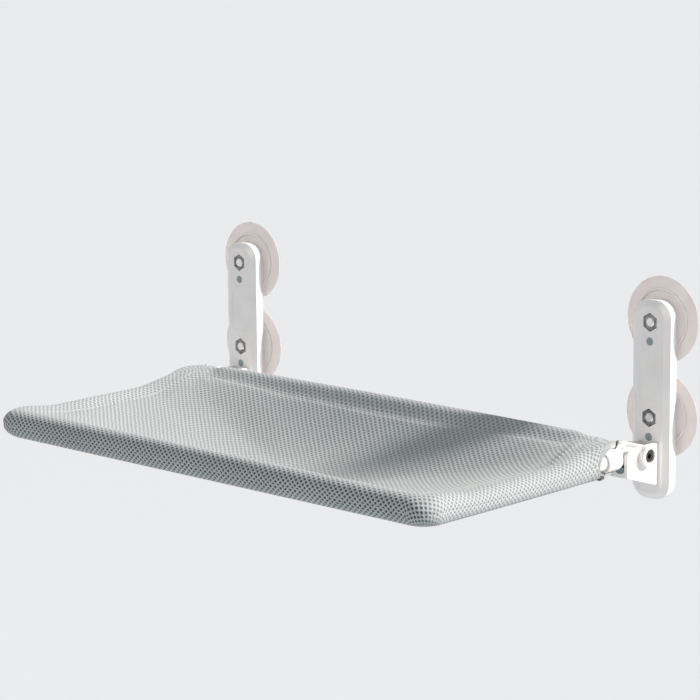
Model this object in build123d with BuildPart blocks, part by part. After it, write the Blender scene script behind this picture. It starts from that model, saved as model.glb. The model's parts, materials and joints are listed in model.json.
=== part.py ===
from build123d import *
import math
import os

os.makedirs("parts", exist_ok=True)

# All lengths are in millimetres. The window glass is the plane Y = 0 and the room lies
# towards -Y. The origin is on the glass, in the middle of the four suction cups.

# Window brackets
bracket_spacing = 466.0
cup_pitch = 77.5
bracket_width = 37.0
bracket_end_flat = 8.0
bracket_above_cup = 17.7
bracket_below_cup = 66.8
cup_gap = 6.3
back_plate_thickness = 2.4
side_wall_depth = 6.0
bevel_depth = 3.3
bevel_width = 5.0
cover_wall = 2.4
cover_edge_radius = 0.8
back_edge_radius = 0.9
label_recess_width = 19.0
label_recess_height = 34.0
label_recess_corner = 2.0
label_recess_depth = 0.3
label_recess_below_middle = 6.5

# Play between pieces that are assembled by hand
slip = 0.2
running_clearance = 0.05
thread_clearance = 0.05
face_gap = 0.3
cut_overrun = 1.0

# Locating lip inside the front cover
lip_thickness = 1.4
lip_height = 1.6

# Suction cups
cup_radius = 35.0
cup_contact_inner_radius = 27.0
cup_rim_thickness = 1.2
cup_rim_round = 0.5
cup_hollow_depth = 2.4
cup_ring_radius = 24.5
cup_ring_half_width = 1.3
cup_ring_height = 1.1
cup_shoulder_radius = 13.0
cup_shoulder_step = 0.4
cup_neck_radius = 9.0
cup_slope_at_ring = 3.0

# Cup studs and nuts
stud_radius = 4.0
stud_head_radius = 7.0
stud_head_thickness = 1.6
stud_head_from_glass = 3.6
stud_tip_chamfer = 0.8
stud_tip_proud = 0.4
stud_hole_radius = 4.2
cup_nut_flats = 13.0
cup_nut_height = 6.5
cup_nut_sink = 0.8
cup_nut_chamfer_height = 0.7
cup_nut_chamfer_reach = 1.1
nut_pocket_slip = 0.4
cup_boss_radius = 11.0

# Screws that join the cover to the back plate, each under a cap
cover_screw_below_cup = 15.5
cap_radius = 3.3
cap_thickness = 1.5
cap_proud = 0.15
cap_edge_round = 0.4
cap_gap = 0.1
cover_screw_head_radius = 2.8
cover_screw_head_thickness = 1.8
cover_screw_radius = 1.05
cover_screw_pilot_radius = 1.1
cover_screw_hole_radius = 1.4
cover_screw_tip_margin = 0.6
screw_boss_radius = 5.0
screw_post_radius = 3.2
screw_seat_thickness = 1.9

# Hinge cheeks, moulded on the front cover
pivot_below_lower_cup = 26.3
pivot_behind_cheek = 23.0
cheek_outer_half = 10.0
cheek_inner_half = 6.8
cheek_reach = 40.0
cheek_top_above_pivot = 7.5
cheek_front_bottom_below_pivot = 15.0
cheek_root_bottom_below_pivot = 27.7
cheek_front_radius = 6.0
cheek_toe_radius = 1.5
cheek_edge_radius = 0.8
cradle_floor_below_pivot = 7.0
cradle_front_recess = 2.5
knuckle_radius = 8.0
knuckle_clearance = 0.5
boss_radius = 8.9
boss_proud = 5.0
boss_edge_radius = 0.6

# Pivot bolt, nut, bush and thrust washers
pivot_bolt_radius = 2.5
pivot_hole_radius = 2.6
pivot_head_radius = 4.75
pivot_head_height = 3.5
pivot_counterbore_radius = 5.9
pivot_counterbore_depth = 4.5
pivot_socket_flats = 4.0
pivot_socket_depth = 2.0
pivot_nut_flats = 8.0
pivot_nut_height = 4.6
pivot_nut_pocket_depth = 5.0
pivot_nut_slip = 0.3
pivot_tip_margin = 0.2
bush_outer_radius = 4.0
washer_outer_radius = 7.2
washer_thickness = 1.0

# Release button and its spring
button_face_radius = 5.4
button_flange_radius = 6.2
button_flange_thickness = 2.2
button_lip_thickness = 1.5
button_proud = 0.6
button_top_below_floor = 0.2
button_play = 0.3
button_travel = 3.0
button_edge_radius = 0.5
button_stem_radius = 1.5
button_stem_length = 6.6
button_axis_below_floor = 3.4
spring_bore_radius = 2.7
spring_bore_depth = 6.8
spring_wire_radius = 0.3
spring_coil_radius = 2.2
spring_turns = 5
spring_end_gap = 0.1

# Frame of the sling
tube_radius = 6.5
tube_wall = 1.2
spigot_length = 20.0
shoulder_behind_cheek = 11.0
knuckle_collar_length = 2.0
knuckle_neck_half_height = 6.0
frame_depth = 215.5
rear_bar_from_cheek = 12.0
rear_bar_rise = 7.5
elbow_bend_radius = 14.0
elbow_collar_length = 4.0
bracket_collar_radius = 8.6
bracket_collar_length = 16.0
rear_bar_shoulder_inset = 26.0
rear_bracket_neck_radius = 6.5
lock_screw_head_radius = 2.3
lock_screw_head_depth = 1.2
lock_screw_head_sink = 0.5
lock_screw_radius = 1.2
lock_screw_length = 6.0

# Fabric sling
roll_radius = 12.0
sheet_sag = 43.5
sheet_above_tube = 9.5
sheet_end_inset = 8.0
rear_lift_reach = 110.0
sling_thickness = 5.0
mouth_bore_slip = 0.4
mouth_top_from_cheek = 4.0
mouth_top_rise = 13.5
mouth_bottom_from_cheek = 32.0
mouth_bottom_drop = 10.5
mouth_half_width = 17.0

# Shares of the frame's half depth, from the rear to the front, where the sheet has a section
sheet_section_shares = (-0.96, -0.66, -0.33, 0, 0.33, 0.66, 0.96)

# Places worked out from the sizes
upper_cup_z = cup_pitch / 2
lower_cup_z = -cup_pitch / 2
bracket_top = upper_cup_z + bracket_above_cup
bracket_bottom = lower_cup_z - bracket_below_cup
bracket_height = bracket_top - bracket_bottom
bracket_middle = (bracket_top + bracket_bottom) / 2
bracket_corner = (bracket_width - bracket_end_flat) / 2
parting_y = cup_gap + back_plate_thickness
bevel_y = parting_y + side_wall_depth
face_y = bevel_y + bevel_depth
panel_inner_y = face_y - cover_wall
nut_seat_y = face_y - cup_nut_height - cup_nut_sink
pivot_z = lower_cup_z - pivot_below_lower_cup
cheek_front_y = face_y + cheek_reach
pivot_y = cheek_front_y - pivot_behind_cheek
cradle_floor_z = pivot_z - cradle_floor_below_pivot
cradle_front_y = cheek_front_y - cradle_front_recess
boss_face = cheek_outer_half + boss_proud
counterbore_floor = boss_face - pivot_counterbore_depth
pivot_nut_floor = boss_face - pivot_nut_pocket_depth
knuckle_half = cheek_inner_half - face_gap - washer_thickness
button_axis_z = cradle_floor_z - button_axis_below_floor
pocket_front_y = cradle_front_y - button_lip_thickness
pocket_back_y = pocket_front_y - button_flange_thickness - button_travel - face_gap
spring_seat_y = pocket_back_y - spring_bore_depth
flange_back_y = pocket_front_y - button_flange_thickness
screw_seat_y = face_y + cap_proud - cap_thickness - cap_gap - cover_screw_head_thickness
tube_bore = tube_radius - tube_wall
spigot_radius = tube_bore - running_clearance
shoulder_y = cheek_front_y - shoulder_behind_cheek
rear_bar_y = cheek_front_y + rear_bar_from_cheek
front_bar_y = rear_bar_y + frame_depth
rear_bar_z = pivot_z + rear_bar_rise
side_tube_front_y = front_bar_y - elbow_bend_radius - elbow_collar_length
half_spacing = bracket_spacing / 2
front_bar_half = half_spacing - elbow_bend_radius - elbow_collar_length
rear_bar_half = half_spacing - rear_bar_shoulder_inset
cover_screw_heights = (upper_cup_z - cover_screw_below_cup, lower_cup_z - cover_screw_below_cup)
cup_heights = (upper_cup_z, lower_cup_z)
sides = {"left": -1, "right": 1}

# Every place above counts distance from the glass as positive, so a plane parallel to the
# glass stands at minus that distance.


def glass_plane(x, distance, z):
    """A sketch plane parallel to the glass that faces the room, with its own Y upwards."""
    return Plane(origin=(x, -distance, z), x_dir=(1, 0, 0), z_dir=(0, -1, 0))


def side_plane(x, distance, z):
    """A sketch plane square to X: its own X runs away from the glass, its own Y upwards."""
    return Plane(origin=(x, -distance, z), x_dir=(0, -1, 0), z_dir=(-1, 0, 0))


def level_plane(x, distance, z):
    """A level sketch plane at a height."""
    return Plane(origin=(x, -distance, z), x_dir=(1, 0, 0), z_dir=(0, 0, 1))


def save(part, name):
    """Gives a finished piece its name and writes it."""
    part.label = name
    export_step(part, f"parts/{name}.step")


def hex_radius(flats):
    """Corner radius of a hexagon from the distance between its flats."""
    return flats / math.sqrt(3)


def make_hinge_block(side):
    """The solid from which the two cheeks and the cradle are shaped, with its pivot bosses."""
    x = side * half_spacing
    root = face_y - panel_inner_y
    reach = cheek_front_y - panel_inner_y
    with BuildPart() as block:
        with BuildSketch(side_plane(x + cheek_outer_half, panel_inner_y, pivot_z)):
            with BuildLine():
                Polyline(
                    (0, cheek_top_above_pivot),
                    (reach, cheek_top_above_pivot),
                    (reach, -cheek_front_bottom_below_pivot),
                    (root, -cheek_root_bottom_below_pivot),
                    (0, -cheek_root_bottom_below_pivot),
                    close=True,
                )
            make_face()
            top_corner = vertices().group_by(Axis.X)[-1].sort_by(Axis.Y)[-1]
            fillet(top_corner, cheek_front_radius)
            toe = vertices().group_by(Axis.X)[-1].sort_by(Axis.Y)[0]
            fillet(toe, cheek_toe_radius)
        extrude(amount=2 * cheek_outer_half)
        outline_edges = block.edges().group_by(Axis.X)[0] + block.edges().group_by(Axis.X)[-1]
        fillet(outline_edges.sort_by(Axis.Y)[:-2], cheek_edge_radius)
        for hand in (-1, 1):
            with BuildSketch(side_plane(x + hand * boss_face, pivot_y, pivot_z)):
                Circle(boss_radius)
            extrude(amount=hand * boss_proud)
            rim = edges(Select.LAST).sort_by(Axis.X)[-1 if hand > 0 else 0]
            fillet(rim, boss_edge_radius)
    return block.part


def make_front_cover(side):
    """One moulding: the shell of the bracket with the hinge cheeks, cradle and bosses."""
    x = side * half_spacing
    corner = bracket_corner
    hinge_block = make_hinge_block(side)
    with BuildPart() as cover:
        with BuildSketch(glass_plane(x, parting_y, bracket_middle)):
            RectangleRounded(bracket_width, bracket_height, corner)
        extrude(amount=side_wall_depth)
        with BuildSketch(glass_plane(x, bevel_y, bracket_middle)):
            RectangleRounded(bracket_width, bracket_height, corner)
        with BuildSketch(glass_plane(x, face_y, bracket_middle)):
            RectangleRounded(
                bracket_width - 2 * bevel_width,
                bracket_height - 2 * bevel_width,
                corner - bevel_width,
            )
        loft(ruled=True)
        fillet(cover.edges().group_by(Axis.Y)[0], cover_edge_radius)

        # Hollow behind the panel
        with BuildSketch(glass_plane(x, parting_y, bracket_middle)):
            RectangleRounded(
                bracket_width - 2 * cover_wall,
                bracket_height - 2 * cover_wall,
                corner - cover_wall,
            )
        extrude(amount=side_wall_depth - cover_wall / 2, mode=Mode.SUBTRACT)
        hollow_step_y = bevel_y - cover_wall / 2
        inset = cover_wall + bevel_width
        with BuildSketch(glass_plane(x, hollow_step_y, bracket_middle)):
            RectangleRounded(
                bracket_width - 2 * cover_wall,
                bracket_height - 2 * cover_wall,
                corner - cover_wall,
            )
        with BuildSketch(glass_plane(x, panel_inner_y, bracket_middle)):
            RectangleRounded(bracket_width - 2 * inset, bracket_height - 2 * inset, corner - inset)
        loft(ruled=True, mode=Mode.SUBTRACT)

        # Bosses for the cup studs and for the screws
        for z in cup_heights:
            with BuildSketch(glass_plane(x, parting_y, z)):
                Circle(cup_boss_radius)
            extrude(amount=panel_inner_y - parting_y)
        for z in cover_screw_heights:
            with BuildSketch(glass_plane(x, screw_seat_y - screw_seat_thickness, z)):
                Circle(screw_boss_radius)
            extrude(amount=panel_inner_y - screw_seat_y + screw_seat_thickness)

        add(hinge_block)

        # Channel for the arm, open at the top and the front
        channel_half = cheek_inner_half
        with BuildSketch(side_plane(x + channel_half, face_y, cradle_floor_z)):
            with Locations(((cheek_reach + cut_overrun) / 2, cheek_reach / 2)):
                Rectangle(cheek_reach + cut_overrun, cheek_reach)
        extrude(amount=2 * channel_half, mode=Mode.SUBTRACT)
        with BuildSketch(side_plane(x + channel_half, pivot_y, pivot_z)):
            Circle(knuckle_radius + knuckle_clearance)
        extrude(amount=2 * channel_half, mode=Mode.SUBTRACT)
        with BuildSketch(glass_plane(x, cradle_front_y, pivot_z)):
            Rectangle(2 * channel_half, 2 * cheek_root_bottom_below_pivot)
        extrude(amount=cradle_front_recess + cut_overrun, mode=Mode.SUBTRACT)

        # Pivot hole, counterbore outside, nut pocket inside
        with BuildSketch(side_plane(x + boss_face, pivot_y, pivot_z)):
            Circle(pivot_hole_radius)
        extrude(amount=2 * boss_face, mode=Mode.SUBTRACT)
        with BuildSketch(side_plane(x + side * boss_face, pivot_y, pivot_z)):
            Circle(pivot_counterbore_radius)
        extrude(amount=side * pivot_counterbore_depth, mode=Mode.SUBTRACT)
        with BuildSketch(side_plane(x - side * boss_face, pivot_y, pivot_z)):
            RegularPolygon(hex_radius(pivot_nut_flats + pivot_nut_slip), 6)
        extrude(amount=-side * pivot_nut_pocket_depth, mode=Mode.SUBTRACT)

        # Half round seat of the release button, with a lip in front, and the spring's bore
        room = button_play + button_top_below_floor
        for radius, start, end in (
            (button_face_radius + room, pocket_front_y, cradle_front_y + cut_overrun),
            (button_flange_radius + room, pocket_back_y, pocket_front_y),
        ):
            with BuildSketch(glass_plane(x, start, cradle_floor_z)):
                Circle(radius)
                with Locations((0, radius)):
                    Rectangle(2 * radius, 2 * radius, mode=Mode.SUBTRACT)
            extrude(amount=end - start, mode=Mode.SUBTRACT)
        with BuildSketch(glass_plane(x, spring_seat_y, button_axis_z)):
            Circle(spring_bore_radius)
        extrude(amount=spring_bore_depth + cut_overrun, mode=Mode.SUBTRACT)

        # Hexagonal pockets, stud holes and screw holes in the panel
        for z in cup_heights:
            with BuildSketch(glass_plane(x, nut_seat_y, z)):
                RegularPolygon(hex_radius(cup_nut_flats + nut_pocket_slip), 6, rotation=90)
            extrude(amount=face_y - nut_seat_y + cut_overrun, mode=Mode.SUBTRACT)
            with BuildSketch(glass_plane(x, parting_y, z)):
                Circle(stud_hole_radius)
            extrude(amount=nut_seat_y - parting_y, mode=Mode.SUBTRACT)
        for z in cover_screw_heights:
            with BuildSketch(glass_plane(x, screw_seat_y, z)):
                Circle(cap_radius + running_clearance)
            extrude(amount=face_y - screw_seat_y + cut_overrun, mode=Mode.SUBTRACT)
            with BuildSketch(glass_plane(x, screw_seat_y - screw_seat_thickness, z)):
                Circle(cover_screw_hole_radius)
            extrude(amount=screw_seat_thickness, mode=Mode.SUBTRACT)

        # Bare recess in the panel
        with BuildSketch(glass_plane(x, face_y - label_recess_depth, -label_recess_below_middle)):
            RectangleRounded(label_recess_width, label_recess_height, label_recess_corner)
        extrude(amount=label_recess_depth + cut_overrun, mode=Mode.SUBTRACT)
    return cover.part


def make_back_plate(side):
    """Flat plate behind the cover, with the cups' holes, screw posts and a locating lip."""
    x = side * half_spacing
    lip_inset = cover_wall + slip
    with BuildPart() as back:
        with BuildSketch(glass_plane(x, cup_gap, bracket_middle)):
            RectangleRounded(bracket_width, bracket_height, bracket_corner)
        extrude(amount=back_plate_thickness)
        fillet(back.edges().group_by(Axis.Y)[-1], back_edge_radius)
        with BuildSketch(glass_plane(x, parting_y, bracket_middle)):
            RectangleRounded(
                bracket_width - 2 * lip_inset,
                bracket_height - 2 * lip_inset,
                bracket_corner - lip_inset,
            )
            RectangleRounded(
                bracket_width - 2 * lip_inset - 2 * lip_thickness,
                bracket_height - 2 * lip_inset - 2 * lip_thickness,
                bracket_corner - lip_inset - lip_thickness,
                mode=Mode.SUBTRACT,
            )
        extrude(amount=lip_height)
        for z in cover_screw_heights:
            post_top = screw_seat_y - screw_seat_thickness - cap_gap
            with BuildSketch(glass_plane(x, parting_y, z)):
                Circle(screw_post_radius)
            extrude(amount=post_top - parting_y)
            with BuildSketch(glass_plane(x, cup_gap, z)):
                Circle(cover_screw_pilot_radius)
            extrude(amount=post_top - cup_gap, mode=Mode.SUBTRACT)
        for z in cup_heights:
            with BuildSketch(glass_plane(x, cup_gap, z)):
                Circle(cup_neck_radius + slip)
            extrude(amount=back_plate_thickness, mode=Mode.SUBTRACT)
    return back.part


def make_cup(x, z):
    """Clear suction cup pressed on the glass: a low dome with a moulded ring and a neck."""
    shoulder_y = cup_gap - face_gap
    ring_in = cup_ring_radius - cup_ring_half_width
    ring_out = cup_ring_radius + cup_ring_half_width
    head_y = stud_head_from_glass
    with BuildPart() as cup:
        with BuildSketch(Plane(origin=(x, 0, z), x_dir=(1, 0, 0), z_dir=(0, 0, 1))):
            with BuildLine():
                Polyline(
                    (cup_contact_inner_radius, 0),
                    (cup_radius - cup_rim_round, 0),
                    (cup_radius, -cup_rim_round),
                    (cup_radius, -cup_rim_thickness),
                )
                ThreePointArc(
                    (cup_radius, -cup_rim_thickness),
                    ((cup_radius + ring_out) / 2, -(cup_rim_thickness + cup_slope_at_ring) / 2),
                    (ring_out, -cup_slope_at_ring + cup_rim_round),
                )
                ThreePointArc(
                    (ring_out, -cup_slope_at_ring + cup_rim_round),
                    (cup_ring_radius, -cup_slope_at_ring - cup_ring_height),
                    (ring_in, -cup_slope_at_ring),
                )
                Polyline(
                    (ring_in, -cup_slope_at_ring),
                    (cup_shoulder_radius, -shoulder_y + cup_shoulder_step),
                    (cup_shoulder_radius - cup_shoulder_step, -shoulder_y),
                    (cup_neck_radius, -shoulder_y),
                    (cup_neck_radius, -parting_y),
                    (stud_radius, -parting_y),
                    (stud_radius, -head_y - stud_head_thickness),
                    (stud_head_radius, -head_y - stud_head_thickness),
                    (stud_head_radius, -head_y),
                    (0, -head_y),
                    (0, -cup_hollow_depth),
                )
                ThreePointArc(
                    (0, -cup_hollow_depth),
                    (cup_contact_inner_radius / 2, -cup_hollow_depth * 3 / 4),
                    (cup_contact_inner_radius, 0),
                )
            make_face()
        revolve(axis=Axis((x, 0, z), (0, 1, 0)))
    return cup.part


def make_cup_studs():
    """The four threaded studs, each with a flat head inside its cup."""
    tip_y = face_y + stud_tip_proud
    with BuildPart() as studs:
        for side in sides.values():
            for z in cup_heights:
                with BuildSketch(glass_plane(side * half_spacing, stud_head_from_glass, z)):
                    Circle(stud_head_radius)
                extrude(amount=stud_head_thickness)
                with BuildSketch(glass_plane(side * half_spacing, stud_head_from_glass, z)):
                    Circle(stud_radius)
                extrude(amount=tip_y - stud_head_from_glass)
        chamfer(studs.edges().group_by(Axis.Y)[0], stud_tip_chamfer)
    return studs.part


def make_cup_nut(x, z):
    """One hexagon nut with its corners turned off, point up."""
    with BuildPart() as nut:
        with BuildSketch(glass_plane(x, nut_seat_y, z)):
            Circle(hex_radius(cup_nut_flats))
        extrude(amount=cup_nut_height)
        for end in (0, -1):
            chamfer(
                nut.edges().group_by(Axis.Y)[end],
                length=cup_nut_chamfer_height,
                length2=cup_nut_chamfer_reach,
            )
        with BuildSketch(glass_plane(x, nut_seat_y, z)):
            RegularPolygon(hex_radius(cup_nut_flats), 6, rotation=90)
            Circle(stud_radius + thread_clearance, mode=Mode.SUBTRACT)
        extrude(amount=cup_nut_height, mode=Mode.INTERSECT)
    return nut.part


def make_cup_nuts():
    """The four hexagon nuts that hold the cups in their pockets."""
    singles = [make_cup_nut(side * half_spacing, z) for side in sides.values() for z in cup_heights]
    with BuildPart() as nuts:
        for single in singles:
            add(single)
    return nuts.part


def make_cover_screws():
    """Screws from the cover into the back plate's posts."""
    with BuildPart() as screws:
        for side in sides.values():
            for z in cover_screw_heights:
                x = side * half_spacing
                with BuildSketch(glass_plane(x, screw_seat_y, z)):
                    Circle(cover_screw_head_radius)
                extrude(amount=cover_screw_head_thickness)
                with BuildSketch(glass_plane(x, cup_gap + cover_screw_tip_margin, z)):
                    Circle(cover_screw_radius)
                extrude(amount=screw_seat_y - cup_gap - cover_screw_tip_margin)
    return screws.part


def make_screw_caps():
    """Small domed caps over the screws."""
    with BuildPart() as caps:
        for side in sides.values():
            for z in cover_screw_heights:
                start = face_y + cap_proud - cap_thickness
                with BuildSketch(glass_plane(side * half_spacing, start, z)):
                    Circle(cap_radius)
                extrude(amount=cap_thickness)
        fillet(caps.edges().group_by(Axis.Y)[0], cap_edge_round)
    return caps.part


def make_pivot_bolts():
    """Socket screws through the cheeks, heads outwards."""
    with BuildPart() as bolts:
        for side in sides.values():
            x = side * half_spacing
            head_x = x + side * counterbore_floor
            shank = counterbore_floor + boss_face - pivot_tip_margin
            with BuildSketch(side_plane(head_x, pivot_y, pivot_z)):
                Circle(pivot_head_radius)
            extrude(amount=-side * pivot_head_height)
            with BuildSketch(side_plane(head_x, pivot_y, pivot_z)):
                Circle(pivot_bolt_radius)
            extrude(amount=side * shank)
            with BuildSketch(side_plane(head_x + side * pivot_head_height, pivot_y, pivot_z)):
                RegularPolygon(hex_radius(pivot_socket_flats), 6)
            extrude(amount=side * pivot_socket_depth, mode=Mode.SUBTRACT)
    return bolts.part


def make_pivot_nuts():
    """Locking nuts in the inner bosses."""
    with BuildPart() as nuts:
        for side in sides.values():
            x = side * half_spacing
            with BuildSketch(side_plane(x - side * pivot_nut_floor, pivot_y, pivot_z)):
                RegularPolygon(hex_radius(pivot_nut_flats), 6)
                Circle(pivot_bolt_radius + thread_clearance, mode=Mode.SUBTRACT)
            extrude(amount=side * pivot_nut_height)
    return nuts.part


def make_thrust_washers():
    """Thin washers on both sides of each knuckle."""
    with BuildPart() as washers:
        for side in sides.values():
            for hand in (-1, 1):
                x = side * half_spacing + hand * knuckle_half
                with BuildSketch(side_plane(x, pivot_y, pivot_z)):
                    Circle(washer_outer_radius)
                    Circle(pivot_bolt_radius + running_clearance, mode=Mode.SUBTRACT)
                extrude(amount=-hand * washer_thickness)
    return washers.part


def make_pivot_bushes():
    """Sleeves in the knuckles that turn on the pivot bolts."""
    with BuildPart() as bushes:
        for side in sides.values():
            x = side * half_spacing + knuckle_half
            with BuildSketch(side_plane(x, pivot_y, pivot_z)):
                Circle(bush_outer_radius)
                Circle(pivot_bolt_radius + running_clearance, mode=Mode.SUBTRACT)
            extrude(amount=2 * knuckle_half)
    return bushes.part


def make_release_button(side):
    """Half round button under the arm, with a flange behind the lip and a stem."""
    x = side * half_spacing
    top_z = cradle_floor_z - button_top_below_floor
    with BuildPart() as button:
        for radius, start, end in (
            (button_flange_radius, flange_back_y, pocket_front_y),
            (button_face_radius, flange_back_y, cradle_front_y + button_proud),
        ):
            with BuildSketch(glass_plane(x, start, top_z)):
                Circle(radius)
                with Locations((0, radius)):
                    Rectangle(2 * radius, 2 * radius, mode=Mode.SUBTRACT)
            extrude(amount=end - start)
        fillet(button.edges().group_by(Axis.Y)[0], button_edge_radius)
        with BuildSketch(glass_plane(x, flange_back_y - button_stem_length, button_axis_z)):
            Circle(button_stem_radius)
        extrude(amount=button_stem_length)
    return button.part


def make_button_spring(side):
    """Coil spring round the button's stem."""
    start = spring_seat_y + spring_end_gap + spring_wire_radius
    length = flange_back_y - spring_end_gap - spring_wire_radius - start
    x = side * half_spacing
    with BuildPart() as spring:
        with BuildLine() as coil:
            Helix(
                pitch=length / spring_turns,
                height=length,
                radius=spring_coil_radius,
                center=(x, -start, button_axis_z),
                direction=(0, -1, 0),
            )
        with BuildSketch(coil.line ^ 0):
            Circle(spring_wire_radius)
        sweep(path=coil.line, is_frenet=True)
    return spring.part


def lock_screw_spots(side):
    """Where one side's lock screws sit: x, distance from the glass, height, surface radius."""
    x = side * half_spacing
    middle = spigot_length / 2
    return {
        "knuckle": (x, shoulder_y + middle, pivot_z, tube_radius),
        "collar": (x, rear_bar_y, pivot_z, bracket_collar_radius),
        "side": (x, side_tube_front_y - middle, pivot_z, tube_radius),
        "front": (side * (front_bar_half - middle), front_bar_y, pivot_z, tube_radius),
        "rear": (side * (rear_bar_half - middle), rear_bar_y, rear_bar_z, tube_radius),
    }


def make_lock_screw(spot, room=0):
    """A countersunk screw from below; with room round it, the shape of its hole."""
    x, distance, axis_z, surface_radius = spot
    head_z = axis_z - surface_radius + lock_screw_head_sink
    neck_z = head_z + lock_screw_head_depth
    with BuildPart() as screw:
        with BuildSketch(level_plane(x, distance, head_z)):
            Circle(lock_screw_head_radius + room)
        with BuildSketch(level_plane(x, distance, neck_z)):
            Circle(lock_screw_radius + room)
        loft(ruled=True)
        with BuildSketch(level_plane(x, distance, neck_z)):
            Circle(lock_screw_radius + room)
        extrude(amount=lock_screw_length + room)
        if room:
            with BuildSketch(level_plane(x, distance, head_z)):
                Circle(lock_screw_head_radius + room)
            extrude(amount=-lock_screw_head_sink - cut_overrun)
    return screw.part


def make_lock_screws():
    """All the screws that lock knuckles, elbows and rear brackets to the tubes."""
    spots = [spot for side in sides.values() for spot in lock_screw_spots(side).values()]
    singles = [make_lock_screw(spot) for spot in spots]
    with BuildPart() as screws:
        for single in singles:
            add(single)
    return screws.part


def screw_holes(side, *names):
    """Hole shapes of the named lock screws of one side."""
    spots = lock_screw_spots(side)
    return [make_lock_screw(spots[name], thread_clearance) for name in names]


def make_knuckle(side):
    """Moulded end of the arm: an eye round the pivot, a collar and a spigot for the tube."""
    x = side * half_spacing
    collar_y = shoulder_y - knuckle_collar_length
    holes = screw_holes(side, "knuckle")
    with BuildPart() as knuckle:
        with BuildSketch(side_plane(x + knuckle_half, pivot_y, pivot_z)):
            Circle(knuckle_radius)
            with Locations(((collar_y - pivot_y) / 2, 0)):
                Rectangle(collar_y - pivot_y, 2 * knuckle_neck_half_height)
        extrude(amount=2 * knuckle_half)
        with BuildSketch(glass_plane(x, collar_y, pivot_z)):
            Circle(tube_radius)
        extrude(amount=knuckle_collar_length)
        with BuildSketch(glass_plane(x, shoulder_y, pivot_z)):
            Circle(spigot_radius)
        extrude(amount=spigot_length)
        with BuildSketch(side_plane(x + knuckle_half, pivot_y, pivot_z)):
            Circle(bush_outer_radius)
        extrude(amount=2 * knuckle_half, mode=Mode.SUBTRACT)
        for hole in holes:
            add(hole, mode=Mode.SUBTRACT)
    return knuckle.part


def make_side_tube(side):
    """Round steel tube from the knuckle to the front elbow."""
    x = side * half_spacing
    holes = screw_holes(side, "knuckle", "collar", "side")
    with BuildPart() as tube:
        with BuildSketch(glass_plane(x, shoulder_y, pivot_z)):
            Circle(tube_radius)
            Circle(tube_bore, mode=Mode.SUBTRACT)
        extrude(amount=side_tube_front_y - shoulder_y)
        for hole in holes:
            add(hole, mode=Mode.SUBTRACT)
    return tube.part


def make_cross_bar(half_length, distance, z, screw_name):
    """Round steel tube along X, drilled near both ends for its lock screws."""
    holes = screw_holes(-1, screw_name) + screw_holes(1, screw_name)
    with BuildPart() as bar:
        with BuildSketch(side_plane(half_length, distance, z)):
            Circle(tube_radius)
            Circle(tube_bore, mode=Mode.SUBTRACT)
        extrude(amount=2 * half_length)
        for hole in holes:
            add(hole, mode=Mode.SUBTRACT)
    return bar.part


def make_front_elbow(side):
    """Moulded corner with a spigot into the side tube and one into the front bar."""
    x = side * half_spacing
    bend_x = x - side * elbow_bend_radius
    bend_y = front_bar_y - elbow_bend_radius
    middle = elbow_bend_radius * math.sqrt(1 / 2)
    holes = screw_holes(side, "side", "front")
    with BuildPart() as elbow:
        with BuildLine() as path:
            Line((x, -side_tube_front_y, pivot_z), (x, -bend_y, pivot_z))
            ThreePointArc(
                (x, -bend_y, pivot_z),
                (bend_x + side * middle, -bend_y - middle, pivot_z),
                (bend_x, -front_bar_y, pivot_z),
            )
            Line((bend_x, -front_bar_y, pivot_z), (side * front_bar_half, -front_bar_y, pivot_z))
        with BuildSketch(glass_plane(x, side_tube_front_y, pivot_z)):
            Circle(tube_radius)
        sweep(path=path.line)
        with BuildSketch(glass_plane(x, side_tube_front_y - spigot_length, pivot_z)):
            Circle(spigot_radius)
        extrude(amount=spigot_length)
        with BuildSketch(side_plane(side * front_bar_half, front_bar_y, pivot_z)):
            Circle(spigot_radius)
        extrude(amount=side * spigot_length)
        for hole in holes:
            add(hole, mode=Mode.SUBTRACT)
    return elbow.part


def make_rear_bracket(side):
    """Moulded collar round the side tube with a raised spigot for the rear bar."""
    x = side * half_spacing
    collar_back_y = rear_bar_y - bracket_collar_length / 2
    holes = screw_holes(side, "collar", "rear")
    with BuildPart() as bracket:
        with BuildSketch(glass_plane(x, collar_back_y, pivot_z)):
            Circle(bracket_collar_radius)
        extrude(amount=bracket_collar_length)
        with BuildSketch(side_plane(x, rear_bar_y, pivot_z)):
            Circle(rear_bracket_neck_radius)
        with BuildSketch(side_plane(side * rear_bar_half, rear_bar_y, rear_bar_z)):
            Circle(tube_radius)
        loft(ruled=True)
        with BuildSketch(side_plane(side * rear_bar_half, rear_bar_y, rear_bar_z)):
            Circle(spigot_radius)
        extrude(amount=side * spigot_length)
        with BuildSketch(glass_plane(x, collar_back_y, pivot_z)):
            Circle(tube_radius + running_clearance)
        extrude(amount=bracket_collar_length, mode=Mode.SUBTRACT)
        for hole in holes:
            add(hole, mode=Mode.SUBTRACT)
    return bracket.part


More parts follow.
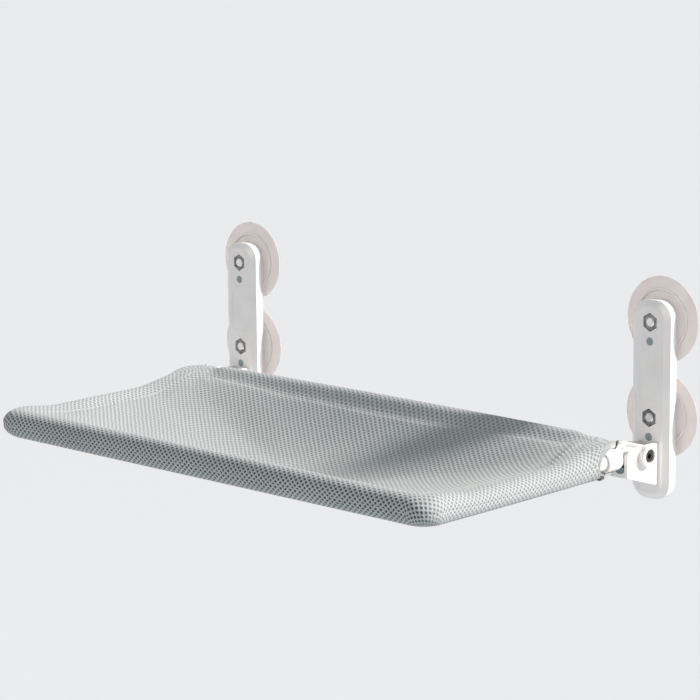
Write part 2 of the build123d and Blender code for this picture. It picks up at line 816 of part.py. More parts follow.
def make_sheet():
    """The sagging sheet between the rolls: arcs across the frame, lofted from rear to front."""
    half_depth = (front_bar_y - rear_bar_y) / 2
    middle_y = (front_bar_y + rear_bar_y) / 2
    half_pad = sling_thickness / 2
    end_x = half_spacing - sheet_end_inset
    end_share = 1 - (end_x / half_spacing) ** 2
    with BuildPart() as sheet:
        for share in sheet_section_shares:
            distance = middle_y + share * half_depth
            depth = sheet_sag * (1 - share**2)
            fade = min((distance - rear_bar_y) / rear_lift_reach, 1)
            lift = rear_bar_rise * (1 + math.cos(math.pi * fade)) / 2
            middle_z = pivot_z + sheet_above_tube + lift - depth
            end_z = pivot_z + sheet_above_tube - depth * end_share
            with BuildSketch(glass_plane(0, distance, 0)):
                with BuildLine():
                    ThreePointArc(
                        (-end_x, end_z - half_pad), (0, middle_z - half_pad), (end_x, end_z - half_pad)
                    )
                    Line((end_x, end_z - half_pad), (end_x, end_z + half_pad))
                    ThreePointArc(
                        (end_x, end_z + half_pad), (0, middle_z + half_pad), (-end_x, end_z + half_pad)
                    )
                    Line((-end_x, end_z + half_pad), (-end_x, end_z - half_pad))
                make_face()
        loft()
    return sheet.part


def make_sling():
    """Padded mesh: a roll round each tube and a sagging sheet between the rolls."""
    sheet = make_sheet()
    bore = tube_radius + face_gap
    mouth_bore = bracket_collar_radius + mouth_bore_slip
    bend_x = half_spacing - elbow_bend_radius
    bend_y = front_bar_y - elbow_bend_radius
    arc_step = elbow_bend_radius * math.sqrt(1 / 2)
    roll_back_y = rear_bar_y - roll_radius
    mouth_run = mouth_bottom_from_cheek - mouth_top_from_cheek
    slant = mouth_run / (mouth_top_rise + mouth_bottom_drop)
    cheek_run = cheek_front_y - pivot_y
    mouth_reach = 2 * roll_radius
    with BuildPart() as sling:
        add(sheet)

        # Rolls outside, then the room for the tubes inside
        for radius, mode in ((roll_radius, Mode.ADD), (bore, Mode.SUBTRACT)):
            with BuildLine() as path:
                Line((-half_spacing, -roll_back_y, pivot_z), (-half_spacing, -bend_y, pivot_z))
                ThreePointArc(
                    (-half_spacing, -bend_y, pivot_z),
                    (-bend_x - arc_step, -bend_y - arc_step, pivot_z),
                    (-bend_x, -front_bar_y, pivot_z),
                )
                Line((-bend_x, -front_bar_y, pivot_z), (bend_x, -front_bar_y, pivot_z))
                ThreePointArc(
                    (bend_x, -front_bar_y, pivot_z),
                    (bend_x + arc_step, -bend_y - arc_step, pivot_z),
                    (half_spacing, -bend_y, pivot_z),
                )
                Line((half_spacing, -bend_y, pivot_z), (half_spacing, -roll_back_y, pivot_z))
            with BuildSketch(glass_plane(-half_spacing, roll_back_y, pivot_z)):
                Circle(radius)
            sweep(path=path.line, mode=mode)
            for side in sides.values():
                with BuildSketch(side_plane(side * half_spacing, rear_bar_y, pivot_z)):
                    Circle(radius)
                with BuildSketch(side_plane(side * rear_bar_half, rear_bar_y, rear_bar_z)):
                    Circle(radius)
                loft(ruled=True, mode=mode)
            with BuildSketch(side_plane(rear_bar_half, rear_bar_y, rear_bar_z)):
                Circle(radius)
            extrude(amount=2 * rear_bar_half, mode=mode)

        # Open mouths at the rear corners, cut on a slant, and room for the rear brackets
        for side in sides.values():
            x = side * half_spacing
            with BuildSketch(glass_plane(x, roll_back_y, pivot_z)):
                Circle(mouth_bore)
            bore_end = rear_bar_y + bracket_collar_length / 2 + mouth_bore_slip
            extrude(amount=bore_end - roll_back_y, mode=Mode.SUBTRACT)
            with BuildSketch(side_plane(x + mouth_half_width, pivot_y, pivot_z)):
                top_slope = slant * (mouth_reach - mouth_top_rise)
                foot_slope = slant * (mouth_reach - mouth_bottom_drop)
                top_reach = cheek_run + mouth_top_from_cheek - top_slope
                foot_reach = cheek_run + mouth_bottom_from_cheek + foot_slope
                with BuildLine():
                    Polyline(
                        (0, mouth_reach),
                        (top_reach, mouth_reach),
                        (foot_reach, -mouth_reach),
                        (0, -mouth_reach),
                        close=True,
                    )
                make_face()
            extrude(amount=2 * mouth_half_width, mode=Mode.SUBTRACT)
    return sling.part


for name, side in sides.items():
    save(make_front_cover(side), f"{name}_front_cover")
    save(make_back_plate(side), f"{name}_back_plate")
    save(make_cup(side * half_spacing, upper_cup_z), f"{name}_upper_cup")
    save(make_cup(side * half_spacing, lower_cup_z), f"{name}_lower_cup")
    save(make_release_button(side), f"{name}_release_button")
    save(make_button_spring(side), f"{name}_button_spring")
    save(make_knuckle(side), f"{name}_knuckle")
    save(make_side_tube(side), f"{name}_side_tube")
    save(make_front_elbow(side), f"{name}_front_elbow")
    save(make_rear_bracket(side), f"{name}_rear_bracket")

save(make_cup_studs(), "cup_studs")
save(make_cup_nuts(), "cup_nuts")
save(make_cover_screws(), "cover_screws")
save(make_screw_caps(), "screw_caps")
save(make_pivot_bolts(), "pivot_bolts")
save(make_pivot_nuts(), "pivot_nuts")
save(make_pivot_bushes(), "pivot_bushes")
save(make_thrust_washers(), "thrust_washers")
save(make_cross_bar(front_bar_half, front_bar_y, pivot_z, "front"), "front_bar")
save(make_cross_bar(rear_bar_half, rear_bar_y, rear_bar_z, "rear"), "rear_bar")
save(make_lock_screws(), "lock_screws")
save(make_sling(), "fabric_sling")
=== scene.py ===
# %% [markdown]
# # A window mounted cat perch, dressed in Blender
#
# Two moulded brackets hold on to a window with clear suction cups. A tube frame hinges on
# them and carries a padded sling of air mesh. The measured solids come in as a frame, in
# metres: the pane is the plane Y = 0, the room lies towards -Y and Z points up.
# We keep the hard pieces as they are and give them good materials. The soft sling is
# modelled here, because cloth is what a solid model shows worst.

import json
import math

import bmesh
import bpy
import numpy as np
from mathutils import Matrix, Vector
from mathutils.bvhtree import BVHTree

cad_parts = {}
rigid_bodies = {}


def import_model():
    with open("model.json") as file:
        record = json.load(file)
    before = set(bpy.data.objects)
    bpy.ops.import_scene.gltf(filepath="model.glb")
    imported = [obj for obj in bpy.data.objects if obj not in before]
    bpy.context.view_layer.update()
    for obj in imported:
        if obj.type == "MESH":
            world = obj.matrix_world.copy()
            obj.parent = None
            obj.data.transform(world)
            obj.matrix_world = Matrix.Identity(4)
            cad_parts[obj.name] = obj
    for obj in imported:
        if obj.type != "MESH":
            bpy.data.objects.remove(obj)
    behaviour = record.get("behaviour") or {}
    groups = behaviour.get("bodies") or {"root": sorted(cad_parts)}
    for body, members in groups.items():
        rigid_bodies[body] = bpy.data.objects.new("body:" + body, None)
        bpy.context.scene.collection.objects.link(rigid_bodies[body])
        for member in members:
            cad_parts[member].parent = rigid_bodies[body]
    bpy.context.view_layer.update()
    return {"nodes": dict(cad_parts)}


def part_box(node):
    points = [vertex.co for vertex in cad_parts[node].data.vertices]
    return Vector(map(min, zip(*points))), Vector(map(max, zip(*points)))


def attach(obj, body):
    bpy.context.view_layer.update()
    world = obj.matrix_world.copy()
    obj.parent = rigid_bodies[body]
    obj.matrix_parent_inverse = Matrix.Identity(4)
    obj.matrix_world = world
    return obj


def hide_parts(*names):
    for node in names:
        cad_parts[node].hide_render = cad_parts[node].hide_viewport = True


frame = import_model()
nodes = frame["nodes"]

# %% [markdown]
# Everything soft is placed from the solids that carry it, so we read the tubes' boxes once
# and work from these names. A tube's box gives its axis.


# %% Read the frame's own sizes
def middle_of(name):
    low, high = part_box(name)
    return (low + high) / 2


side_low, side_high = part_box("right_side_tube")
tube_x = (side_low.x + side_high.x) / 2
tube_z = (side_low.z + side_high.z) / 2
front_y = middle_of("front_bar").y
rear_y = middle_of("rear_bar").y
rear_z = middle_of("rear_bar").z
middle_y = (front_y + rear_y) / 2
half_y = (rear_y - front_y) / 2
roll_radius = 0.012
elbow_bend = 0.014
print("tube axis", round(tube_x, 4), round(tube_z, 4), "bars", round(front_y, 4), round(rear_y, 4))


# %% [markdown]
# An operator works on whatever is selected, so every step starts by clearing the selection
# and picking its own piece.


# %% Small helpers for pieces
def select_only(piece):
    for other in bpy.data.objects:
        other.select_set(False)
    piece.select_set(True)
    bpy.context.view_layer.objects.active = piece


def apply_all(piece):
    select_only(piece)
    for modifier in list(piece.modifiers):
        bpy.ops.object.modifier_apply(modifier=modifier.name)


def new_piece(name, data):
    piece = bpy.data.objects.new(name, data)
    bpy.context.scene.collection.objects.link(piece)
    return piece


# %% [markdown]
# ## Camera
#
# The photograph was taken from the right, a little above the sling. These numbers put the
# camera where the brackets' edges line up with the photograph's.

# %% Place the camera
photo_width = 700
focal_in_pixels = 2741.5
sensor_width = 36.0
camera_place = (1.5329, -1.7324, 0.4311)
heading, looking_down, leaning = 43.5204, 10.9147, -0.5569

camera_data = bpy.data.cameras.new("photo_camera")
camera_data.sensor_fit = "HORIZONTAL"
camera_data.sensor_width = sensor_width
camera_data.lens = focal_in_pixels / photo_width * sensor_width
camera_data.clip_end = 200.0
camera = new_piece("photo_camera", camera_data)
turn = Matrix.Rotation(math.radians(heading), 4, "Z")
tilt = Matrix.Rotation(math.radians(90 - looking_down), 4, "X")
roll = Matrix.Rotation(math.radians(leaning), 4, "Z")
camera.matrix_world = Matrix.Translation(camera_place) @ turn @ tilt @ roll
bpy.context.scene.camera = camera
print("lens", round(camera_data.lens, 1), "mm")

# %% [markdown]
# ## Studio
#
# The shadow of the hinge's boss shows where the light comes from: the right, a little
# behind and above. A sun 8 degrees wide stands there, so the sling's right band is bright
# and its front band is in soft shade. A dim fill and a pale world keep the shade open.


# %% Floor and lights
floor_z = -0.46
bpy.ops.mesh.primitive_plane_add(size=60, location=(0, 0, floor_z))
floor = bpy.context.object
floor.name = "studio_floor"
floor_look = bpy.data.materials.new("pale_floor")
floor_look.use_nodes = True
floor_shader = floor_look.node_tree.nodes["Principled BSDF"]
floor_shader.inputs["Base Color"].default_value = (0.54, 0.56, 0.585, 1)
floor_shader.inputs["Roughness"].default_value = 0.9
floor.data.materials.append(floor_look)


def add_lamp(name, kind, power, tint, place, facing):
    data = bpy.data.lights.new(name, kind)
    data.energy = power
    data.color = tint
    lamp = new_piece(name, data)
    lamp.location = place
    lamp.rotation_euler = facing.to_euler()
    return data


sun_way = Vector((1.0, 0.67, 0.75))
sun_place, sun_facing = sun_way.normalized() * 2, sun_way.to_track_quat("Z", "Y")
sun = add_lamp("sun_from_right", "SUN", 6.0, (1.0, 0.955, 0.91), sun_place, sun_facing)
sun.angle = math.radians(8)

fill_place, fill_target = Vector((-0.9, -1.9, 0.9)), Vector((0, -0.15, -0.05))
fill_facing = (fill_target - fill_place).to_track_quat("-Z", "Y")
fill = add_lamp("fill_from_front", "AREA", 3, (0.95, 0.98, 1.0), fill_place, fill_facing)
fill.shape = "DISK"
fill.size = 1.6

world = bpy.context.scene.world or bpy.data.worlds.new("pale_world")
bpy.context.scene.world = world
world.use_nodes = True
sky = world.node_tree.nodes["Background"]
sky.inputs["Color"].default_value = (0.98, 0.985, 1.0, 1)
sky.inputs["Strength"].default_value = 0.5
bpy.context.scene.view_settings.view_transform = "Standard"

# %% [markdown]
# ## Materials
#
# Every finish is a small node tree. A pattern reads either the object's own coordinates,
# which are metres here, or the sling's unrolled cloth map. Numbers that are the same all
# over sit on the shader's own sockets.


# %% Node helpers
def new_look(name, roughness=0.5, metallic=0.0):
    look = bpy.data.materials.new(name)
    look.use_nodes = True
    shader = look.node_tree.nodes["Principled BSDF"]
    shader.inputs["Roughness"].default_value = roughness
    shader.inputs["Metallic"].default_value = metallic
    return look, look.node_tree, shader


def add_node(tree, kind, **values):
    made = tree.nodes.new(kind)
    for key, value in values.items():
        setattr(made, key, value)
    return made


def math_node(tree, operation, first, second=None, third=None):
    made = tree.nodes.new("ShaderNodeMath")
    made.operation = operation
    for socket, value in zip(made.inputs, (first, second, third)):
        if value is None:
            continue
        if isinstance(value, (int, float)):
            socket.default_value = value
        else:
            tree.links.new(value, socket)
    return made.outputs[0]


# %% Helpers for patterns and bumps
def object_noise(tree, scale, detail=2.0, stretch=None):
    """Noise in the object's own metres: scale is features per metre."""
    place = add_node(tree, "ShaderNodeTexCoord").outputs["Object"]
    if stretch:
        mapping = add_node(tree, "ShaderNodeMapping")
        mapping.inputs["Scale"].default_value = stretch
        tree.links.new(place, mapping.inputs["Vector"])
        place = mapping.outputs["Vector"]
    cloud = add_node(tree, "ShaderNodeTexNoise")
    cloud.inputs["Scale"].default_value = scale
    cloud.inputs["Detail"].default_value = detail
    tree.links.new(place, cloud.inputs["Vector"])
    return cloud.outputs["Fac"]


def colour_ramp(tree, factor, stops):
    ramp = add_node(tree, "ShaderNodeValToRGB")
    while len(ramp.color_ramp.elements) < len(stops):
        ramp.color_ramp.elements.new(0.5)
    for element, (place, colour) in zip(ramp.color_ramp.elements, stops):
        element.position = place
        element.color = (*colour, 1)
    tree.links.new(factor, ramp.inputs["Fac"])
    return ramp.outputs["Color"]


def map_range(tree, factor, start, stop, low, high, **values):
    made = add_node(tree, "ShaderNodeMapRange", **values)
    for name, value in (("From Min", start), ("From Max", stop), ("To Min", low), ("To Max", high)):
        made.inputs[name].default_value = value
    tree.links.new(factor, made.inputs["Value"])
    return made.outputs["Result"]


def spread(tree, factor, low, high):
    """Maps a noise's middle range on to low and high."""
    return map_range(tree, factor, 0.3, 0.7, low, high)


def mixed_colour(tree, factor, first, second, **values):
    """Two colours mixed: each of them is a link or three plain numbers."""
    made = add_node(tree, "ShaderNodeMix", data_type="RGBA", **values)
    slots = (made.inputs["Factor"], factor), (made.inputs[6], first), (made.inputs[7], second)
    for socket, value in slots:
        if isinstance(value, tuple):
            socket.default_value = (*value, 1)
        elif isinstance(value, float):
            socket.default_value = value
        else:
            tree.links.new(value, socket)
    return made.outputs[2]


def axes_of(tree, vector):
    split = add_node(tree, "ShaderNodeSeparateXYZ")
    tree.links.new(vector, split.inputs["Vector"])
    return split.outputs["X"], split.outputs["Y"]


def bumped(tree, shader, height, strength, distance, under=None):
    bump = add_node(tree, "ShaderNodeBump")
    bump.inputs["Strength"].default_value = strength
    bump.inputs["Distance"].default_value = distance
    tree.links.new(height, bump.inputs["Height"])
    if under:
        tree.links.new(under, bump.inputs["Normal"])
    tree.links.new(bump.outputs["Normal"], shader.inputs["Normal"])
    return bump.outputs["Normal"]


# %% [markdown]
# The brackets are injection moulded plastic. Up close that is a fine spark eroded grain,
# slightly uneven gloss, and a faint cloudiness in the white. One recipe with a few numbers
# serves every moulded piece: white covers, natural nylon bushes and teal buttons.


# %% Moulded plastic
def moulded(name, light, dark, gloss, grain=2600):
    look, tree, shader = new_look(name, gloss)
    colour = colour_ramp(tree, object_noise(tree, 38, 4), ((0.35, dark), (0.65, light)))
    tree.links.new(colour, shader.inputs["Base Color"])
    patches = object_noise(tree, 90, 3)
    tree.links.new(spread(tree, patches, gloss - 0.07, gloss + 0.08), shader.inputs["Roughness"])
    fine = object_noise(tree, grain, 2)
    wide = object_noise(tree, 60, 2)
    flow = bumped(tree, shader, wide, 0.25, 0.0003)
    bumped(tree, shader, fine, 0.35, 0.00005, flow)
    return look


white_plastic = moulded("white_plastic", (0.90, 0.885, 0.875), (0.84, 0.825, 0.815), 0.42)
back_plastic = moulded("back_plate_plastic", (0.74, 0.73, 0.73), (0.67, 0.66, 0.66), 0.5)
# The button's teal is the caps' teal darkened: painted shade under the arm
teal_plastic = moulded("teal_plastic", (0.185, 0.265, 0.26), (0.145, 0.21, 0.205), 0.38)
pale_teal = moulded("pale_teal_plastic", (0.30, 0.385, 0.38), (0.25, 0.33, 0.325), 0.42)
nylon = moulded("natural_nylon", (0.80, 0.77, 0.70), (0.72, 0.69, 0.62), 0.36, grain=1500)
white_shader = white_plastic.node_tree.nodes["Principled BSDF"]
white_shader.inputs["Subsurface Weight"].default_value = 0.06
white_shader.inputs["Subsurface Scale"].default_value = 0.002
moulded_looks = (white_plastic, back_plastic, teal_plastic, pale_teal, nylon)
print("moulded finishes", [look.name for look in moulded_looks])


# %% [markdown]
# The tubes are steel with a white powder coat, which has a soft orange peel.


# %% Powder coated tube
def powder_coat(name, colour):
    look, tree, shader = new_look(name, 0.32)
    darker = tuple(c * 0.94 for c in colour)
    cloudy = colour_ramp(tree, object_noise(tree, 25, 3), ((0.3, darker), (0.7, colour)))
    tree.links.new(cloudy, shader.inputs["Base Color"])
    tree.links.new(spread(tree, object_noise(tree, 70, 2), 0.26, 0.38), shader.inputs["Roughness"])
    bumped(tree, shader, object_noise(tree, 900, 1.5), 0.3, 0.00008)
    shader.inputs["Coat Weight"].default_value = 0.25
    shader.inputs["Coat Roughness"].default_value = 0.12
    return look


white_tube = powder_coat("white_tube", (0.80, 0.80, 0.79))
print("tube finish", white_tube.name)


# %% [markdown]
# Nuts darkened with painted shade and painted dark reflections, bright studs, zinc screws and blackened
# bolts share one metal recipe.
# Turning leaves fine rings, plating leaves cloudy patches of gloss.


# %% Plated and blackened metal
def turned_metal(name, light, dark, gloss, rings, metallic=1.0):
    look, tree, shader = new_look(name, gloss, metallic)
    colour = colour_ramp(tree, object_noise(tree, 300, 4), ((0.3, dark), (0.7, light)))
    tree.links.new(colour, shader.inputs["Base Color"])
    patches = object_noise(tree, 500, 3)
    tree.links.new(spread(tree, patches, gloss - 0.08, gloss + 0.12), shader.inputs["Roughness"])
    lines = object_noise(tree, 1800, 2, rings)
    bumped(tree, shader, lines, 0.3, 0.00006)
    return look


bright_stud = turned_metal("bright_stud", (0.88, 0.87, 0.86), (0.72, 0.71, 0.71), 0.20, (1, 6, 1))
# The nuts' dark base colour is painted shade from their pockets and painted dark reflection
nut_painted_shade = turned_metal("nut_painted_shade", (0.34, 0.335, 0.33), (0.13, 0.13, 0.135), 0.24, (1, 6, 1))
zinc_steel = turned_metal("zinc_steel", (0.72, 0.73, 0.75), (0.58, 0.60, 0.62), 0.32, (1, 5, 1))
dark_steel = turned_metal("dark_steel", (0.10, 0.10, 0.105), (0.045, 0.045, 0.05), 0.38, (6, 1, 1), 0.85)
print("metals", [look.name for look in (bright_stud, nut_painted_shade, zinc_steel, dark_steel)])

# %% [markdown]
# The cups are clear soft vinyl, slightly milky and warm where it is thick. Light passes
# through, so the base has transmission, and a haze of fine ripples breaks the reflections.

# %% Clear vinyl
clear_vinyl, tree, shader = new_look("clear_vinyl", 0.16)
thick, thin = (0.89, 0.835, 0.815), (0.945, 0.91, 0.895)
haze = colour_ramp(tree, object_noise(tree, 45, 3), ((0.3, thick), (0.7, thin)))
tree.links.new(haze, shader.inputs["Base Color"])
tree.links.new(spread(tree, object_noise(tree, 120, 3), 0.10, 0.26), shader.inputs["Roughness"])
bumped(tree, shader, object_noise(tree, 140, 3), 0.35, 0.0004)
shader.inputs["Transmission Weight"].default_value = 0.55
shader.inputs["IOR"].default_value = 1.4
shader.inputs["Subsurface Weight"].default_value = 0.15
shader.inputs["Subsurface Scale"].default_value = 0.004
print("vinyl", clear_vinyl.name)

# %% [markdown]
# The sling is air mesh: a springy knit with staggered oval holes about 5 mm apart along a
# row and 2 mm from row to row, which is what the photograph's pattern measures. We draw it
# on the unrolled cloth map. Two shifted lattices of ovals give the holes. Diagonal ribs of
# yarn run between them, and a fine noise makes the yarn itself. The holes' near-black colour
# is painted shade, the shadow down in the knit's pits, and it stays dark on the shaded front roll.
# Behind that roll the colour is mixed halfway to its average: painted sunlight, standing for
# the sun that falls through the knit and washes the pattern out.

# %% Air mesh
hole_pitch = 0.0052
row_pitch = 0.0022
hole_long = 0.00130
hole_short = 0.00102
hole_edge = (0.72, 1.25)
wander_reach = 0.0016
# Painted sunlight behind the front roll: its share of the mix towards the average, and the Y span where
# it fades in from the roll's painted shade
painted_sun_share = 0.5
painted_shade_end, painted_sun_start = front_y - 0.010, front_y - 0.002


def oval_lattice(tree, across, along, shift):
    """Distance to the nearest oval of one lattice, 1 at the oval's edge."""
    parts = []
    for value, pitch, size in ((across, hole_pitch, hole_long), (along, 2 * row_pitch, hole_short)):
        turns = math_node(tree, "MULTIPLY_ADD", value, 1 / pitch, shift)
        cell = math_node(tree, "FRACT", turns)
        offset = math_node(tree, "MULTIPLY_ADD", cell, pitch / size, -0.5 * pitch / size)
        parts.append(math_node(tree, "MULTIPLY", offset, offset))
    return math_node(tree, "SQRT", math_node(tree, "ADD", *parts))


def diagonal_ribs(tree, across, along):
    """Ribs of yarn on one diagonal, crossed by a weaker set on the other."""
    across_turns = math_node(tree, "MULTIPLY", across, 2 * math.pi / hole_pitch)
    along_turns = math_node(tree, "MULTIPLY", along, 2 * math.pi / (2 * row_pitch))
    rib_one = math_node(tree, "SINE", math_node(tree, "ADD", across_turns, along_turns))
    rib_two = math_node(tree, "SINE", math_node(tree, "SUBTRACT", across_turns, along_turns))
    return math_node(tree, "MULTIPLY_ADD", rib_one, 0.22, math_node(tree, "MULTIPLY", rib_two, 0.10))


def air_mesh(name, light, dark, hole, average):
    look, tree, shader = new_look(name, 0.85)
    cloth = add_node(tree, "ShaderNodeUVMap", uv_map="cloth").outputs["UV"]
    wander = add_node(tree, "ShaderNodeTexNoise")
    wander.inputs["Scale"].default_value = 60
    tree.links.new(cloth, wander.inputs["Vector"])
    straight = axes_of(tree, cloth)
    drift = axes_of(tree, wander.outputs["Color"])
    pairs = zip(drift, straight)
    across, along = (math_node(tree, "MULTIPLY_ADD", a, wander_reach, b) for a, b in pairs)
    lattices = [oval_lattice(tree, across, along, shift) for shift in (0.0, 0.5)]
    near = math_node(tree, "MINIMUM", *lattices)
    solid = map_range(tree, near, *hole_edge, 0.0, 1.0, interpolation_type="SMOOTHSTEP")

    yarn = add_node(tree, "ShaderNodeTexNoise")
    yarn.inputs["Scale"].default_value = 2600
    yarn.inputs["Detail"].default_value = 3
    tree.links.new(cloth, yarn.inputs["Vector"])
    ribs = diagonal_ribs(tree, across, along)
    fuzz = math_node(tree, "MULTIPLY_ADD", yarn.outputs["Fac"], 0.5, ribs)

    body = colour_ramp(tree, object_noise(tree, 18, 3), ((0.3, dark), (0.7, light)))
    speckle = colour_ramp(tree, fuzz, ((0.1, (0.55, 0.57, 0.58)), (0.6, (1, 1, 1))))
    yarn_colour = mixed_colour(tree, 0.45, body, speckle, blend_type="MULTIPLY")
    # Where the holes open, their near-black colour is painted shade in the knit's pits
    knit = mixed_colour(tree, solid, hole, yarn_colour)
    # Behind the front roll the colour goes towards its average: painted sunlight through the knit
    object_y = axes_of(tree, add_node(tree, "ShaderNodeTexCoord").outputs["Object"])[1]
    painted_sun_mask = map_range(
        tree, object_y, painted_shade_end, painted_sun_start, 0.0, painted_sun_share, interpolation_type="SMOOTHSTEP"
    )
    tree.links.new(mixed_colour(tree, painted_sun_mask, knit, average), shader.inputs["Base Color"])

    height = math_node(tree, "MULTIPLY_ADD", fuzz, 0.3, solid)
    flow = bumped(tree, shader, object_noise(tree, 45, 2), 0.25, 0.002)
    bumped(tree, shader, height, 0.55, 0.0006, flow)
    shader.inputs["Sheen Weight"].default_value = 0.25
    shader.inputs["Sheen Roughness"].default_value = 0.5
    return look


sling_look = air_mesh(
    "grey_air_mesh",
    light=(0.515, 0.555, 0.56),
    dark=(0.445, 0.484, 0.494),
    # The holes' near-black is painted shade
    hole=(0.055, 0.063, 0.067),
    average=(0.325, 0.352, 0.358),
)
print("mesh pitch", hole_pitch * 1000, "by", row_pitch * 1000, "mm")

# %% [markdown]
# Now each solid gets its finish. The solids themselves stay exactly as they came.

# %% Give every solid its finish
finish_of = {
    "front_cover": white_plastic,
    "back_plate": back_plastic,
    "cup": clear_vinyl,
    "release_button": teal_plastic,
    "button_spring": zinc_steel,
    "knuckle": white_plastic,
    "side_tube": white_tube,
    "front_elbow": white_plastic,
    "rear_bracket": white_plastic,
    "cup_studs": bright_stud,
    "cup_nuts": nut_painted_shade,
    "cover_screws": zinc_steel,
    "screw_caps": pale_teal,
    "pivot_bolts": dark_steel,
    "pivot_nuts": zinc_steel,
    "pivot_bushes": nylon,
    "thrust_washers": nylon,
    "front_bar": white_tube,
    "rear_bar": white_tube,
    "lock_screws": zinc_steel,
    "fabric_sling": sling_look,
}
for name, solid in nodes.items():
    word = max((w for w in finish_of if name.endswith(w)), key=len)
    for slot in solid.material_slots:
        slot.material = finish_of[word]
print("finished solids", len(nodes))

# %% [markdown]
# ## The sling
#
# The real sling is one padded sheet of air mesh. Its edges fold over the tubes and are sewn
# down, which makes a fat roll all round, and the sheet sags between the rolls. We build it
# as one closed skin: a grid for the dish, then rings that climb over the roll and return
# underneath to a second grid. A regular skin like this keeps its seams on edge loops, and
# the cloth solver and the mesh pattern both profit from that.

# %% The sling's plan: rounded rectangles that share their point count
corner_steps = 12
long_steps = 88
short_steps = 38
sag = 0.0435
sheet_thickness = 0.005


def smooth_step(value):
    value = np.clip(value, 0.0, 1.0)
    return value * value * (3 - 2 * value)


def rounded_plan(inset, corner):
    """Points and outward directions round the plan, at an inset from the tubes' axis."""
    half_x, half_wide = tube_x - inset, half_y - inset
    points, outward = [], []
    quarters = ((1, 1, 0), (-1, 1, 90), (-1, -1, 180), (1, -1, 270))
    for index, (sx, sy, start) in enumerate(quarters):
        middle = Vector((sx * (half_x - corner), middle_y + sy * (half_wide - corner)))
        for step in range(corner_steps):
            angle = math.radians(start + 90 * step / corner_steps)
            away = Vector((math.cos(angle), math.sin(angle)))
            points.append(middle + away * corner)
            outward.append(away)
        next_x, next_y = quarters[(index + 1) % 4][:2]
        turned = math.radians(start + 90)
        away = Vector((math.cos(turned), math.sin(turned)))
        last = middle + away * corner
        next_middle = Vector((next_x * (half_x - corner), middle_y + next_y * (half_wide - corner)))
        first = next_middle + away * corner
        count = long_steps if index in (0, 2) else short_steps
        for step in range(count):
            points.append(last.lerp(first, step / count))
            outward.append(away)
    return np.array(points), np.array(outward)


# %% [markdown]
# The roll isn't the same all round. In front it is round and full. Along the sides the cloth
# lies tight on the tube and hangs a little below it. At the rear it is lifted with the rear
# bar, and the corners are tall enough to take both tubes. Three curves give its top and
# foot, and a share blends them round each corner.


# %% The roll's top and foot
# For each change in height: where it begins, over what length it runs and how much it is
drop_from, drop_run, side_drop = front_y + 0.006, 0.045, 0.0045
climb_from, climb_run, side_climb = rear_y - 0.080, 0.072, 0.0088
shoulder_x, shoulder_run, shoulder_drop = 0.200, 0.014, 0.0026
corner_x, corner_run, corner_drop = 0.222, 0.011, 0.0004
foot_x, foot_run = 0.195, 0.030
mouth_x, mouth_length, mouth_run, mouth_lift = 0.206, 0.034, 0.016, 0.0014


def side_top(y):
    drop = smooth_step((y - drop_from) / drop_run)
    climb = smooth_step((y - climb_from) / climb_run)
    return tube_z + roll_radius - side_drop * drop + side_climb * climb


def rear_top(x):
    past_shoulder = smooth_step((np.abs(x) - shoulder_x) / shoulder_run)
    at_corner = smooth_step((np.abs(x) - corner_x) / corner_run)
    return rear_z + roll_radius - shoulder_drop * past_shoulder - corner_drop * at_corner


def rear_foot(x):
    return rear_z - roll_radius + (tube_z - rear_z) * smooth_step((np.abs(x) - foot_x) / foot_run)


def side_share(plan):
    """1 on the two sides, 0 in front and behind, turning smoothly through each corner."""
    return smooth_step((np.abs(plan[:, 0]) - (tube_x - elbow_bend)) / elbow_bend)


axis_plan, axis_out = rounded_plan(0, elbow_bend)
around = len(axis_plan)
rearward = axis_plan[:, 1] > middle_y
on_side = side_share(axis_plan)
end_top = np.where(rearward, rear_top(axis_plan[:, 0]), tube_z + roll_radius)
end_foot = np.where(rearward, rear_foot(axis_plan[:, 0]), tube_z - roll_radius)
roll_top = end_top + (side_top(axis_plan[:, 1]) - end_top) * on_side
roll_foot = end_foot + (tube_z - roll_radius - end_foot) * on_side
towards_side = smooth_step((np.abs(axis_plan[:, 0]) - mouth_x) / mouth_run)
towards_rear = smooth_step((axis_plan[:, 1] - rear_y + mouth_length) / mouth_run)
near_mouth = towards_side * towards_rear
roll_foot = roll_foot + mouth_lift * near_mouth
roll_middle = (roll_top + roll_foot) / 2
roll_half = (roll_top - roll_foot) / 2
heights = [round(float(2000 * half), 1) for half in (roll_half.min(), roll_half.max())]
print("points round the sling", around, "roll", heights, "mm high")

# %% [markdown]
# The sheet between the rolls hangs from them. Its edge level is read from the curves of the
# roll's top and blended over the plan, less the sag. At each rear corner the cloth is
# stretched over the end of the raised bar, which makes a flat bright facet with a crest that
# runs diagonally from the side roll to the bar. The facet is a tent, and the sheet may not
# sink below it. The crest is a straight line in the plan, with a slope on either side.


# %% The height of the cloth
# The facet's plane rises towards the rear and falls outward. Its crest is a line in the plan,
# and crest_out with crest_back is the direction across that line.
crest_foot_y = rear_y - 0.077
crest_lift, facet_rise, facet_fall = 0.0072, 0.094, 0.198
crest_out, crest_back, crest_round = 0.947, 0.320, 0.003
inner_slope = 1.05
facet_below_top = 0.0004
edge_height = 0.0100
side_sink, end_sink, skin_sink = 0.0012, 0.0010, 0.0005
hollow_power = 2.2
facet_blend = 0.002


def soft_larger(a, b, reach):
    """The larger of two heights, with a round fillet where they meet."""
    return 0.5 * (a + b + np.sqrt((a - b) ** 2 + reach**2))


def facet_height(x, y):
    """The tent over a rear corner, from where its crest leaves the side roll."""
    out, back = np.abs(x) - tube_x, y - crest_foot_y
    flat = tube_z + crest_lift + facet_rise * back - facet_fall * out
    past_crest = crest_out * out + crest_back * back
    inside = 0.5 * (np.sqrt(past_crest**2 + crest_round**2) - past_crest)
    return np.minimum(flat, rear_top(x) - facet_below_top) - inner_slope * inside


